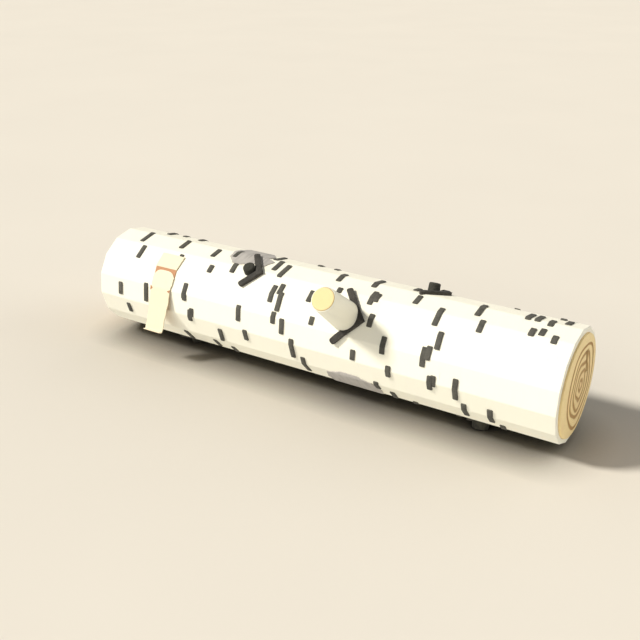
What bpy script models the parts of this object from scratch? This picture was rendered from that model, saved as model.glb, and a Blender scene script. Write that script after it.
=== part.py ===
"""Birch log: a sawn length of trunk with one branch stub, dark marks on white bark and a torn strip.

Units are metres. The log lies along X, its stub and torn strip face -Y, and it rests at z = 0 on three
knots. Places on the bark are given as metres along from the far (-X) end and degrees round from the top
towards the stub.
"""
import bpy
import bmesh
import math
import random
from mathutils import Matrix, Vector

# Trunk
LENGTH = 0.482
TRUNK_R = 0.050             # axis to the corners between the bark's flat sides
SIDES = 15
WOOD_R = 0.0445
WOOD_PROUD = 0.0018         # the wood stands out of the bark ring at each cut end
FIT = 0.0003                # gap between the wood and its bark
RIM_BEVEL = 0.0008
ROUND_SIDES = 48

# Branch stub, square to the trunk's axis
STUB_ALONG = 0.2856
STUB_TURN = 51.5
STUB_TIP = 0.0952           # axis to the end of the stub's bark
STUB_BASE_R = 0.0138        # where the stub leaves the trunk
STUB_TIP_R = 0.0113
STUB_BARK = 0.0011
STUB_PROUD = 0.0006         # the stub's wood stands out of its bark
STUB_ROOT = 0.022           # how near the axis the stub's solids start
STUB_SIDES = 24

# Knots: along, turn, radius, height of the flat end over the axis
KNOTS = (
    (0.1725, 26.5, 0.0062, 0.0555),
    (0.344, -19.0, 0.0056, 0.0575),
    (0.408, 167.0, 0.0078, 0.0583),
    (0.088, 176.0, 0.0070, 0.0578),
    (0.238, 198.0, 0.0075, 0.0605),
    (0.318, 262.0, 0.0062, 0.0560),
)
KNOT_SIDES = 14
KNOT_TAPER = 0.92
KNOT_BEVEL = 0.0012

# V-shaped bark ridges over the knots and the stub: one end, the point, the other end, width
RIDGES = (
    ((0.1661, 1.7), (0.1840, 27.1), (0.1719, 45.2), 0.0060),
    ((0.2808, 24.0), (0.3020, 52.4), (0.2803, 79.2), 0.0060),
    ((0.332, -52.0), (0.358, -19.0), (0.340, 0.0), 0.0049),
    ((0.400, 157.0), (0.424, 170.0), (0.402, 198.0), 0.0049),
    ((0.080, 204.0), (0.104, 178.0), (0.082, 157.0), 0.0049),
    ((0.228, 224.0), (0.254, 199.0), (0.230, 177.0), 0.0052),
    ((0.307, 288.0), (0.334, 263.0), (0.309, 241.0), 0.0049),
)
RIDGE_LIFT = 0.0031

# Grey patches where the white layer has worn off
PATCHES = (
    ((0.139, 10), (0.148, 21), (0.155, 22), (0.163, 18), (0.1725, 14), (0.181, 17), (0.188, 4), (0.177, -1),
     (0.181, -10), (0.170, -26), (0.160, -36), (0.145, -30), (0.137, -12)),
    ((0.270, 121), (0.285, 116), (0.300, 116), (0.316, 121), (0.323, 135), (0.320, 152), (0.305, 162),
     (0.288, 162), (0.274, 150), (0.267, 135)),
    ((0.372, 222), (0.388, 213), (0.410, 217), (0.421, 231), (0.409, 247), (0.388, 250), (0.374, 240)),
    ((0.128, 246), (0.141, 236), (0.156, 241), (0.166, 256), (0.153, 272), (0.134, 268), (0.124, 257)),
)
PATCH_LIFT = 0.0007

# Dark dashes on the side with the stub: along, turn of the middle, degrees long
MARKS = (
    (0.032, 9, 23), (0.041, 35, 18), (0.028, 84, 15), (0.036, 108, 13), (0.062, 81, 22), (0.081, 8, 18),
    (0.0902, 28, 3), (0.122, 11, 16), (0.130, 36, 10), (0.110, 68, 18), (0.111, 75, 8), (0.118, 95, 14),
    (0.120, 91, 10), (0.144, 2, 18), (0.154, 28, 13), (0.176, 77, 18), (0.184, 101, 14), (0.153, 111, 17),
    (0.1845, -13, 22), (0.194, 8, 20), (0.205, 15, 23), (0.207, 47, 20), (0.214, 40, 13), (0.217, 54, 21),
    (0.215, 72, 13), (0.225, 79, 17), (0.236, 102, 24), (0.246, 124, 27), (0.261, 2, 19), (0.246, 40, 14),
    (0.255, 65, 9), (0.270, 25, 7), (0.296, -4, 24), (0.303, 24, 19), (0.307, 23, 12), (0.311, 50, 14),
    (0.328, 71, 18), (0.300, 89, 11), (0.335, 97, 13), (0.321, 123, 14), (0.334, 139, 18), (0.332, -11, 12),
    (0.3415, 12, 15), (0.367, 28, 23), (0.376, 53, 18), (0.366, 72, 20), (0.370, 67, 14), (0.374, 97, 16),
    (0.377, 94, 12), (0.397, 97, 24), (0.397, 4, 24), (0.405, 28, 15), (0.404, 123, 22), (0.427, 121, 22),
    (0.435, 143, 16), (0.4366, -6, 20), (0.4445, -6, 19), (0.456, -1, 15), (0.4675, -12, 15),
    (0.4462, 21, 11), (0.4538, 18, 11), (0.4654, 24, 10), (0.105, 132, 20), (0.140, 133, 16),
    (0.159, 139, 14), (0.0447, -20, 17), (0.0610, -25, 14), (0.0835, -23, 17), (0.225, -26, 12),
    (0.2435, -26, 13), (0.4195, -29, 11), (0.460, -26, 12), (0.086, 151, 12), (0.205, 151, 12),
    (0.250, 153, 14), (0.262, 151, 12), (0.354, 147, 14), (0.394, 150, 11),
)
MARK_WIDTH = 0.0048
MARK_LIFT = 0.0008
MARK_LIFT_STEP = 0.00012    # neighbours differ, so that no two tops share a plane

# Dark dashes on the other side, drawn by a seeded rule
BACK_MARKS = 56
BACK_TURNS = (166, 322)
BACK_SPANS = (10, 25)
BACK_SEED = 11
MARK_GAP = 0.0022           # least bark left between two drawn dashes
KNOT_CLEARANCE = 0.011      # and round a knot, along the trunk
KNOT_CLEAR_TURN = 14.0
END_MARGIN = 0.012

ROOT = 0.0016               # how deep everything raised is sunk into the bark
KNOT_ROOT = 0.0048

# Torn strip of bark
PEEL_FROM, PEEL_TO = 0.0680, 0.0955     # its edges along the trunk
PEEL_TURN = 30.0            # where it is still attached
PEEL_LEAVES = 72.0          # where it leaves the trunk, at a corner between two flats
PEEL_ROWS = 14
PEEL_THICK = 0.0011
PEEL_NARROWS = 0.22         # share of its width lost towards the free end
PEEL_HANG = 0.0405          # length that hangs free
PEEL_BEND_R = 0.600         # gentle outward bend of the free length
PEEL_CURL = 0.0063
PEEL_CURL_R = 0.0028

# Growth rings on the cut ends: mean radius and waviness, round the pith
PITH = Vector((0.0052, -0.0017))        # from the axis, to +Y and +Z
RINGS = ((0.0042, 0.00045), (0.0110, 0.0009), (0.0180, 0.0012), (0.0243, 0.0013), (0.0318, 0.0011))
RING_POINTS = 40
RING_TALL = 1.16            # the rings are a little taller than wide
RING_LOBES = (3, 5)         # a ring's waviness is a slow wave and a weaker quick one
RING_QUICK_SHARE = 0.6
RING_PHASES = (400.0, 900.0)    # radians a metre of radius, so that each ring waves its own way
RING_LINE_R = 0.0009
RING_DEPTH = 0.0004
CRACK_WIDTH, CRACK_LENGTH, CRACK_DEPTH = 0.0072, 0.0225, 0.0045
CRACK_NARROWS = 0.55        # width left at its inner end
CRACK_MIDDLE = Vector((0.0161, 0.0162))
CRACK_LEAN = 12.0           # degrees from upright

PAST = 0.02                 # how far a cutter runs past what it cuts

FLAT = 2 * math.pi / SIDES
FRONT_REACH = STUB_TIP * math.sin(math.radians(STUB_TURN)) + STUB_TIP_R * math.cos(math.radians(STUB_TURN))
BACK_REACH = KNOTS[-1][3]
AXIS_Y = (FRONT_REACH - BACK_REACH) / 2     # centres the whole log on the origin
AXIS_Z = 0.0565             # the knots hold the trunk clear of the ground

COLOURS = {
    "bark": ((0.90, 0.88, 0.82, 1.0), 0.75),
    "wood": ((0.62, 0.42, 0.20, 1.0), 0.65),
    "bark_peel": ((0.92, 0.85, 0.64, 1.0), 0.7),
}


def bark_radius(turn):
    """Distance from the axis to the flat sides, at an angle in radians round from the top."""
    return TRUNK_R * math.cos(FLAT / 2) / math.cos(turn % FLAT - FLAT / 2)


def place(along, turn, radius):
    """Point at a place along and round the trunk, at a distance from its axis."""
    return Vector((along - LENGTH / 2, AXIS_Y - radius * math.sin(turn), AXIS_Z + radius * math.cos(turn)))


def outward(along, turn):
    """Matrix that stands local Z on the axis, pointing out of the bark, with local X along the trunk."""
    out = Vector((0.0, -math.sin(turn), math.cos(turn)))
    rows = Matrix((Vector((1, 0, 0)), out.cross(Vector((1, 0, 0))), out)).transposed()
    return Matrix.Translation(place(along, turn, 0.0)) @ rows.to_4x4()


def collection(name, inside):
    made = bpy.data.collections.new(name)
    inside.children.link(made)
    return made


def material(name):
    colour, roughness = COLOURS[name]
    made = bpy.data.materials.new(name)
    made.use_nodes = True
    shader = made.node_tree.nodes["Principled BSDF"]
    shader.inputs["Base Color"].default_value = colour
    shader.inputs["Roughness"].default_value = roughness
    shader.inputs["Metallic"].default_value = 0.0
    return made


def new_object(name, mesh, group):
    made = bpy.data.objects.new(name, mesh)
    group.objects.link(made)
    return made


def from_bmesh(name, shape, group):
    mesh = bpy.data.meshes.new(name)
    bmesh.ops.recalc_face_normals(shape, faces=shape.faces)
    shape.to_mesh(mesh)
    shape.free()
    return new_object(name, mesh, group)


def evaluated_mesh(source):
    """Mesh of an object as its modifiers or its curve settings leave it."""
    bpy.context.view_layer.update()
    graph = bpy.context.evaluated_depsgraph_get()
    return bpy.data.meshes.new_from_object(source.evaluated_get(graph))


def cone(name, sides, low_r, high_r, low, high, matrix, group, rim_bevel=0.0):
    """Capped cone or cylinder between two heights on local Z of a matrix."""
    shape = bmesh.new()
    bmesh.ops.create_cone(shape, cap_ends=True, segments=sides, radius1=low_r, radius2=high_r,
                          depth=high - low)
    if rim_bevel:
        rim = [edge for edge in shape.edges if abs(edge.verts[0].co.z - edge.verts[1].co.z) < RIM_BEVEL
               and edge.verts[0].co.z > 0]
        bmesh.ops.bevel(shape, geom=rim, offset=rim_bevel, segments=2, profile=0.5, affect="EDGES")
    bmesh.ops.translate(shape, verts=shape.verts, vec=(0, 0, (low + high) / 2))
    bmesh.ops.transform(shape, matrix=matrix, verts=shape.verts)
    return from_bmesh(name, shape, group)


def raised(name, outline, lift, group):
    """Block that stands on the bark and follows its flats, from a flat outline of (along, turn) points."""
    curve = bpy.data.curves.new(name, "CURVE")
    curve.dimensions = "2D"
    curve.fill_mode = "BOTH"
    curve.extrude = (lift + ROOT) / 2
    spline = curve.splines.new("POLY")
    spline.points.add(len(outline) - 1)
    for point, (along, turn) in zip(spline.points, outline):
        point.co = (along, turn * TRUNK_R, 0.0, 1.0)
    spline.use_cyclic_u = True
    flat_shape = new_object(name, curve, group)
    mesh = evaluated_mesh(flat_shape)
    bpy.data.objects.remove(flat_shape)

    shape = bmesh.new()
    shape.from_mesh(mesh)
    bmesh.ops.remove_doubles(shape, verts=shape.verts, dist=1e-6)
    turns = [turn for _, turn in outline]
    for corner in range(math.ceil(min(turns) / FLAT), math.floor(max(turns) / FLAT) + 1):
        parts = shape.verts[:] + shape.edges[:] + shape.faces[:]
        fold = (0, corner * FLAT * TRUNK_R, 0)
        bmesh.ops.bisect_plane(shape, geom=parts, plane_co=fold, plane_no=(0, 1, 0))
    for vertex in shape.verts:
        along, turn, height = vertex.co.x, vertex.co.y / TRUNK_R, vertex.co.z + (lift - ROOT) / 2
        vertex.co = place(along, turn, bark_radius(turn) + height)
    bpy.data.meshes.remove(mesh)
    bmesh.ops.triangulate(shape, faces=shape.faces)
    return from_bmesh(name, shape, group)


def dash_outline(along, turn, span):
    """Rectangle, longest round the trunk."""
    half, low, high = MARK_WIDTH / 2, math.radians(turn - span / 2), math.radians(turn + span / 2)
    return [(along + half, high), (along - half, high), (along - half, low), (along + half, low)]


def ridge_outline(first, point, last, width):
    """Band of even width along a V, with rounded ends and a sharp point."""
    a, b, c = (Vector((along, math.radians(turn) * TRUNK_R)) for along, turn in (first, point, last))
    half = width / 2
    down, up = (b - a).normalized(), (c - b).normalized()
    side_down, side_up = Vector((-down.y, down.x)), Vector((-up.y, up.x))
    mitre = (side_down + side_up).normalized()
    mitre *= half / mitre.dot(side_down)

    def end(middle, heading, side):
        steps = [math.radians(step) for step in (90, 40, -40, -90)]
        return [middle + half * (heading * math.cos(step) + side * math.sin(step)) for step in steps]

    band = end(a, -down, -side_down) + [b + mitre] + end(c, up, side_up) + [b - mitre]
    return [(corner.x, corner.y / TRUNK_R) for corner in band]


def back_marks():
    """Dashes on the side away from the stub, drawn so that none touches another, a knot or a ridge."""
    draw = random.Random(BACK_SEED)
    kept = []
    while len(kept) < BACK_MARKS:
        along = draw.uniform(END_MARGIN, LENGTH - END_MARGIN)
        turn, span = draw.uniform(*BACK_TURNS), draw.uniform(*BACK_SPANS)
        clear = all(
            abs(along - other) > MARK_WIDTH + MARK_GAP
            or abs(turn - other_turn) > (span + other_span) / 2 + math.degrees(MARK_GAP / TRUNK_R)
            for other, other_turn, other_span in kept
        )
        clear = clear and all(
            abs(along - knot[0]) > KNOT_CLEARANCE or abs(turn - knot[1]) > span / 2 + KNOT_CLEAR_TURN
            for knot in KNOTS
        )
        if clear:
            kept.append((along, turn, span))
    return kept


def unite(target, group, solver):
    """Joins everything in a collection to an object, then removes the collection's objects."""
    join = target.modifiers.new("join", "BOOLEAN")
    join.operation = "UNION"
    join.operand_type = "COLLECTION"
    join.collection = group
    join.solver = solver
    joined = evaluated_mesh(target)
    target.modifiers.clear()
    target.data = joined
    for source in list(group.objects):
        bpy.data.objects.remove(source)


def cut(target, group, solver):
    """Takes the solids of a cutter collection out of an object."""
    taken = target.modifiers.new("cut", "BOOLEAN")
    taken.operation = "DIFFERENCE"
    taken.operand_type = "COLLECTION"
    taken.collection = group
    taken.solver = solver
    for cutter in group.objects:
        cutter.hide_render = True
        cutter.display_type = "WIRE"


def trunk_cylinder(name, sides, radius, length, group, rim_bevel=0.0):
    """Cylinder on the trunk's axis with a corner at the top."""
    shape = bmesh.new()
    bmesh.ops.create_cone(shape, cap_ends=True, segments=sides, radius1=radius, radius2=radius, depth=length)
    first = max(shape.verts, key=lambda vertex: vertex.co.y)
    to_top = math.atan2(first.co.x, first.co.y)
    bmesh.ops.rotate(shape, verts=shape.verts, matrix=Matrix.Rotation(to_top, 3, "Z"))
    if rim_bevel:
        rims = [edge for edge in shape.edges if abs(edge.verts[0].co.z - edge.verts[1].co.z) < RIM_BEVEL]
        bmesh.ops.bevel(shape, geom=rims, offset=rim_bevel, segments=2, profile=0.5, affect="EDGES")
    lay = Matrix(((0, 0, 1), (1, 0, 0), (0, 1, 0))).to_4x4()
    to_axis = Matrix.Translation((0, AXIS_Y, AXIS_Z))
    bmesh.ops.transform(shape, matrix=to_axis @ lay, verts=shape.verts)
    return from_bmesh(name, shape, group)


def stub_cone(name, inset, past_tip, group, rim_bevel=0.0):
    """The stub's outline, taken in by an even thickness, from inside the trunk to past its tip."""
    slope = (STUB_BASE_R - STUB_TIP_R) / (STUB_TIP - TRUNK_R)
    high = STUB_TIP + past_tip
    low_r = STUB_BASE_R - inset + slope * (TRUNK_R - STUB_ROOT)
    high_r = STUB_TIP_R - inset - slope * past_tip
    matrix = outward(STUB_ALONG, math.radians(STUB_TURN))
    return cone(name, STUB_SIDES, low_r, high_r, STUB_ROOT, high, matrix, group, rim_bevel)


def make_bark(parts, cutters):
    bark = trunk_cylinder("bark", SIDES, TRUNK_R, LENGTH, parts, RIM_BEVEL)
    grown = collection("grown on the bark", parts)
    stub_cone("stub bark", 0.0, 0.0, grown, RIM_BEVEL)
    for along, turn, radius, height in KNOTS:
        matrix = outward(along, math.radians(turn))
        foot = TRUNK_R - KNOT_ROOT
        cone("knot", KNOT_SIDES, radius, radius * KNOT_TAPER, foot, height, matrix, grown, KNOT_BEVEL)
    for ridge in RIDGES:
        raised("ridge", ridge_outline(*ridge), RIDGE_LIFT, grown)
    for outline in PATCHES:
        raised("patch", [(along, math.radians(turn)) for along, turn in outline], PATCH_LIFT, grown)
    for index, mark in enumerate(list(MARKS) + back_marks()):
        raised("dash", dash_outline(*mark), MARK_LIFT + index % 3 * MARK_LIFT_STEP, grown)
    unite(bark, grown, "MANIFOLD")      # EXACT leaves shared edges among so many blocks
    bpy.data.collections.remove(grown)

    hollow = collection("bark cutters", cutters)
    trunk_cylinder("trunk bore", ROUND_SIDES, WOOD_R + FIT, LENGTH + PAST, hollow)
    stub_cone("stub bore", STUB_BARK - FIT, STUB_BARK, hollow)
    ground = bmesh.new()
    bmesh.ops.create_cube(ground, size=1.0)
    bmesh.ops.scale(ground, verts=ground.verts, vec=(LENGTH + PAST, 4 * TRUNK_R, PAST))
    bmesh.ops.translate(ground, verts=ground.verts, vec=(0, 0, -PAST / 2))
    from_bmesh("ground cut", ground, hollow)
    cut(bark, hollow, "MANIFOLD")
    return bark


def ring_loop(name, radius, wave, face, group):
    """Closed wavy line on a cut end, as a thin tube that is later cut out of the wood."""
    curve = bpy.data.curves.new(name, "CURVE")
    curve.dimensions = "3D"
    curve.bevel_depth = RING_LINE_R
    curve.bevel_resolution = 1
    spline = curve.splines.new("POLY")
    spline.points.add(RING_POINTS - 1)
    depth = RING_LINE_R - RING_DEPTH
    slow, quick = RING_LOBES
    slow_phase, quick_phase = (rate * radius for rate in RING_PHASES)
    for index, point in enumerate(spline.points):
        turn = 2 * math.pi * index / RING_POINTS
        swell = math.sin(slow * turn + slow_phase) + RING_QUICK_SHARE * math.sin(quick * turn + quick_phase)
        reach = radius + wave * swell
        y = AXIS_Y + PITH.x + reach * math.cos(turn)
        z = AXIS_Z + PITH.y + reach * RING_TALL * math.sin(turn)
        point.co = (face + math.copysign(depth, face), y, z, 1.0)
    spline.use_cyclic_u = True
    line = new_object(name, curve, group)
    mesh = evaluated_mesh(line)
    bpy.data.objects.remove(line)
    return new_object(name, mesh, group)


def crack(face, group):
    """Wedge-shaped split from near the rim towards the pith."""
    shape = bmesh.new()
    wide = CRACK_WIDTH / 2
    bmesh.ops.create_cone(shape, cap_ends=True, segments=4, radius1=wide, radius2=wide * CRACK_NARROWS,
                          depth=CRACK_LENGTH)
    bmesh.ops.scale(shape, verts=shape.verts, vec=(2 * CRACK_DEPTH / CRACK_WIDTH, 1, 1))
    lean = Matrix.Rotation(math.radians(180 + CRACK_LEAN), 3, "X")
    bmesh.ops.rotate(shape, verts=shape.verts, matrix=lean)
    middle = Vector((face, AXIS_Y + CRACK_MIDDLE.x, AXIS_Z + CRACK_MIDDLE.y))
    bmesh.ops.translate(shape, verts=shape.verts, vec=middle)
    return from_bmesh("crack", shape, group)


def make_wood(parts, cutters):
    wood = trunk_cylinder("wood", ROUND_SIDES, WOOD_R, LENGTH + 2 * WOOD_PROUD, parts)
    branch = collection("branch wood", parts)
    stub_cone("stub wood", STUB_BARK, STUB_PROUD, branch)
    unite(wood, branch, "EXACT")
    bpy.data.collections.remove(branch)

    lines = collection("wood cutters", cutters)
    for face in (LENGTH / 2 + WOOD_PROUD, -LENGTH / 2 - WOOD_PROUD):
        for radius, wave in RINGS:
            ring_loop("ring", radius, wave, face, lines)
        crack(face, lines)
    cut(wood, lines, "MANIFOLD")
    return wood


def peel_path():
    """Points (side, up) of the strip's middle layer, seen along the trunk from its axis."""
    path = []
    for row in range(PEEL_ROWS + 1):
        turn = math.radians(PEEL_TURN + (PEEL_LEAVES - PEEL_TURN) * row / PEEL_ROWS)
        radius = bark_radius(turn) + FIT + PEEL_THICK / 2
        path.append(Vector((radius * math.sin(turn), radius * math.cos(turn))))
    heading = math.radians(90 - PEEL_LEAVES)
    bends = ((PEEL_HANG, PEEL_BEND_R, PEEL_ROWS), (PEEL_CURL, PEEL_CURL_R, PEEL_ROWS // 2))
    for length, radius, steps in bends:
        step = length / steps
        for _ in range(steps):
            heading += step / radius / 2
            path.append(path[-1] + step * Vector((math.sin(heading), -math.cos(heading))))
            heading += step / radius / 2
    return path


def make_peel(parts):
    path = peel_path()
    reach = [0.0]
    for here, ahead in zip(path, path[1:]):
        reach.append(reach[-1] + (ahead - here).length)
    shape = bmesh.new()
    bmesh.ops.create_grid(shape, x_segments=3, y_segments=len(path) - 1, size=0.5)
    for vertex in shape.verts:
        across, row = vertex.co.x, round((vertex.co.y + 0.5) * (len(path) - 1))
        side, up = path[row]
        width = (PEEL_TO - PEEL_FROM) * (1 - PEEL_NARROWS * reach[row] / reach[-1])
        along = (PEEL_FROM + PEEL_TO) / 2 + across * width
        vertex.co = (along - LENGTH / 2, AXIS_Y - side, AXIS_Z + up)
    peel = from_bmesh("bark_peel", shape, parts)
    wall = peel.modifiers.new("thickness", "SOLIDIFY")
    wall.thickness = PEEL_THICK
    wall.offset = 0.0
    return peel


def main():
    for old in list(bpy.data.objects):
        bpy.data.objects.remove(old, do_unlink=True)
    everything = bpy.context.scene.collection
    parts, cutters = collection("birch log", everything), collection("cutters", everything)
    for made in (make_bark(parts, cutters), make_wood(parts, cutters), make_peel(parts)):
        made.data.materials.clear()
        made.data.materials.append(material(made.name))


main()
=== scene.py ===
"""Looks of a sawn birch log: white bark with raised dark marks, a branch stub, a torn strip and sawn ends.

Units are metres. Places on the bark are metres along from the far (-X) end and degrees round from the top
towards the stub. Laid out as an add-on: sizes and colours are properties, and each group of pieces is an
operator.
"""

import math
import random

import bmesh
import bpy
from bpy.props import FloatProperty, FloatVectorProperty, IntProperty, PointerProperty
from bpy.types import Operator, Panel, PropertyGroup
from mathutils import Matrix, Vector


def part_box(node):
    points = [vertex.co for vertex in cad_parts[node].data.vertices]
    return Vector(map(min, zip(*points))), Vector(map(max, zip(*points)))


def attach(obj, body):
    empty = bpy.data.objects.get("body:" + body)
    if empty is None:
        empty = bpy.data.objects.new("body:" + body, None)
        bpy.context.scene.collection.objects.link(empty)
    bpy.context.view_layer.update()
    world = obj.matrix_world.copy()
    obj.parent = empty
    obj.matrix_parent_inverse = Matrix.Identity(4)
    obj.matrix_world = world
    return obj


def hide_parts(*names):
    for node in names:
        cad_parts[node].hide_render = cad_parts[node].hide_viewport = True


bl_info = {
    "name": "Birch Log",
    "version": (1, 0, 0),
    "blender": (4, 5, 0),
    "location": "View3D > Sidebar > Birch Log",
    "description": "Models the bark, marks, torn strip and sawn ends of a birch log around its solids",
    "category": "Add Mesh",
}

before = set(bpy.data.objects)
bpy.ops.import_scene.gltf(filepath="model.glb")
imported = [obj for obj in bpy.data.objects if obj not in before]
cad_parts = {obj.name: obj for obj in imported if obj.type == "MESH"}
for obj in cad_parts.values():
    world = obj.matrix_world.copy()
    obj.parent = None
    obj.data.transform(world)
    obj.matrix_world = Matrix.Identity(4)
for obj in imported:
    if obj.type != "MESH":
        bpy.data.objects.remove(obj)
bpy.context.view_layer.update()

# Driving sizes of the trunk, read from the solids
BARK_LOW, BARK_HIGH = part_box("bark")
WOOD_LOW, WOOD_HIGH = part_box("wood")
LENGTH = BARK_HIGH.x - BARK_LOW.x
WOOD_RADIUS = 0.0445
AXIS_Y = WOOD_HIGH.y - WOOD_RADIUS
AXIS_Z = WOOD_LOW.z + WOOD_RADIUS
WOOD_PROUD = WOOD_HIGH.x - BARK_HIGH.x
STUB_PROUD = 0.0006
STUB_ROOT = 0.022           # how near the axis the stub's bark and its bore start
STUB_WOOD_ROOT = 0.046      # and its wood
STUB_SIDES = 40
ROUND_SIDES = 96            # sides of the trunk's wood and of the bore for it
FIT = 0.0003                # gap between two pieces that touch
ROOT = 0.0016               # how deep everything raised is sunk into the bark
OVERRUN = 0.01              # how far the bore's cutter reaches past each end
TINY = 1e-6                 # two places nearer than this are the same
CLOSE = 1e-5                # looser, for places that were worked out by turning

# Bevels: corners of a dash seen from above, then worn top rims
DASH_CORNER, DASH_RIM = 0.0008, 0.0002
RIDGE_BEVEL, KNOT_BEVEL, PATCH_BEVEL, WOOD_BEVEL = 0.0005, 0.0012, 0.00015, 0.0005
SHEET_BEVEL, FLAP_BEVEL = 0.00018, 0.00025

# Knots: along, turn, radius, height of the flat end over the axis
KNOTS = (
    (0.1725, 26.5, 0.0062, 0.0555),
    (0.344, -19.0, 0.0056, 0.0575),
    (0.408, 167.0, 0.0078, 0.0583),
    (0.088, 176.0, 0.0070, 0.0578),
    (0.238, 198.0, 0.0075, 0.0605),
    (0.318, 262.0, 0.0062, 0.0560),
)
KNOT_TAPER = 0.92
KNOT_SIDES = 28
KNOT_DISHES = ((0.3, -0.0002), (0.2, -0.0001), (0.2, 0.0004))   # insets in its end: share of radius, depth

# V-shaped bark ridges: one end, the point, the other end, width
RIDGES = (
    ((0.1661, 1.7), (0.1840, 27.1), (0.1719, 45.2), 0.0060),
    ((0.2808, 24.0), (0.3020, 52.4), (0.2803, 79.2), 0.0060),
    ((0.332, -52.0), (0.358, -19.0), (0.340, 0.0), 0.0049),
    ((0.400, 157.0), (0.424, 170.0), (0.402, 198.0), 0.0049),
    ((0.080, 204.0), (0.104, 178.0), (0.082, 157.0), 0.0049),
    ((0.228, 224.0), (0.254, 199.0), (0.230, 177.0), 0.0052),
    ((0.307, 288.0), (0.334, 263.0), (0.309, 241.0), 0.0049),
)

# Grey patches where the white layer has worn off
PATCHES = (
    ((0.139, 10), (0.148, 21), (0.155, 22), (0.163, 18), (0.1725, 14), (0.181, 17), (0.188, 4), (0.177, -1),
     (0.181, -10), (0.170, -26), (0.160, -36), (0.145, -30), (0.137, -12)),
    ((0.270, 121), (0.285, 116), (0.300, 116), (0.316, 121), (0.323, 135), (0.320, 152), (0.305, 162),
     (0.288, 162), (0.274, 150), (0.267, 135)),
    ((0.372, 222), (0.388, 213), (0.410, 217), (0.421, 231), (0.409, 247), (0.388, 250), (0.374, 240)),
    ((0.128, 246), (0.141, 236), (0.156, 241), (0.166, 256), (0.153, 272), (0.134, 268), (0.124, 257)),
)

# Dark dashes on the side with the stub: along, turn of the middle, degrees long
MARKS = (
    (0.032, 9, 23), (0.041, 35, 18), (0.028, 84, 15), (0.036, 108, 13), (0.062, 81, 22), (0.081, 8, 18),
    (0.0902, 28, 3), (0.122, 11, 16), (0.130, 36, 10), (0.110, 68, 18), (0.111, 75, 8), (0.118, 95, 14),
    (0.120, 91, 10), (0.144, 2, 18), (0.154, 28, 13), (0.176, 77, 18), (0.184, 101, 14), (0.153, 111, 17),
    (0.1845, -13, 22), (0.194, 8, 20), (0.205, 15, 23), (0.207, 47, 20), (0.214, 40, 13), (0.217, 54, 21),
    (0.215, 72, 13), (0.225, 79, 17), (0.236, 102, 24), (0.246, 124, 27), (0.261, 2, 19), (0.246, 40, 14),
    (0.255, 65, 9), (0.270, 25, 7), (0.296, -4, 24), (0.303, 24, 19), (0.307, 23, 12), (0.311, 50, 14),
    (0.328, 71, 18), (0.300, 89, 11), (0.335, 97, 13), (0.321, 123, 14), (0.334, 139, 18), (0.332, -11, 12),
    (0.3415, 12, 15), (0.367, 28, 23), (0.376, 53, 18), (0.366, 72, 20), (0.370, 67, 14), (0.374, 97, 16),
    (0.377, 94, 12), (0.397, 97, 24), (0.397, 4, 24), (0.405, 28, 15), (0.404, 123, 22), (0.427, 121, 22),
    (0.435, 143, 16), (0.4366, -6, 20), (0.4445, -6, 19), (0.456, -1, 15), (0.4675, -12, 15),
    (0.4462, 21, 11), (0.4538, 18, 11), (0.4654, 24, 10), (0.105, 132, 20), (0.140, 133, 16),
    (0.159, 139, 14), (0.0447, -20, 17), (0.0610, -25, 14), (0.0835, -23, 17), (0.225, -26, 12),
    (0.2435, -26, 13), (0.4195, -29, 11), (0.460, -26, 12), (0.086, 151, 12), (0.205, 151, 12),
    (0.250, 153, 14), (0.262, 151, 12), (0.354, 147, 14), (0.394, 150, 11),
)

# Dark dashes on the other side, drawn by a seeded rule
BACK_MARKS = 56
BACK_TURNS = (166, 322)
BACK_SPANS = (10, 25)
BACK_SEED = 11
MARK_GAP = 0.0022
KNOT_CLEARANCE = 0.011
KNOT_CLEAR_TURN = 14.0
END_MARGIN = 0.012

# Growth rings on the cut ends: mean radius and waviness, round the pith
PITH = Vector((0.0052, -0.0017))        # from the axis, to +Y and +Z
RINGS = ((0.0042, 0.00045), (0.0110, 0.0009), (0.0180, 0.0012), (0.0243, 0.0013), (0.0318, 0.0011))
RING_TALL = 1.16
RING_LOBES = (3, 5)
RING_QUICK_SHARE = 0.6
RING_PHASES = (400.0, 900.0)
CRACK_WIDTH, CRACK_LENGTH, CRACK_DEPTH = 0.0072, 0.0225, 0.0045
CRACK_NARROWS = 0.55
CRACK_MIDDLE = Vector((0.0161, 0.0162))
CRACK_LEAN = 12.0
CRACK_SHADE_DEPTHS = (0.0010, 0.00035)          # depths under the face between which the crack's walls are painted darker: painted shade
CRACK_SHADE_SHARE = 0.68
CRACK_REACH = (0.042, 0.044)            # the wood's own side wall, past these radii, gets no painted shade
HEART_REACH, HEART_SHARE = (0.012, 0.030), 0.22

# Rings on the stub's end: width of a step, the steps' depths and where its pith lies
STUB_STEP = 0.0014
STUB_STEP_DEPTHS = (-0.0001, 0.0, 0.0001, -0.0001, 0.0)
STUB_PITH = Vector((-0.0006, 0.0004))

# Edge loops on a cut end: even steps from pith to rim, and the loops across a dark ring, in half widths
GRAIN_STEPS = 56
LOOP_SHARES = (-1, -0.5, 0, 0.5, 1)
LOOP_MARGIN = 1.25

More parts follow.
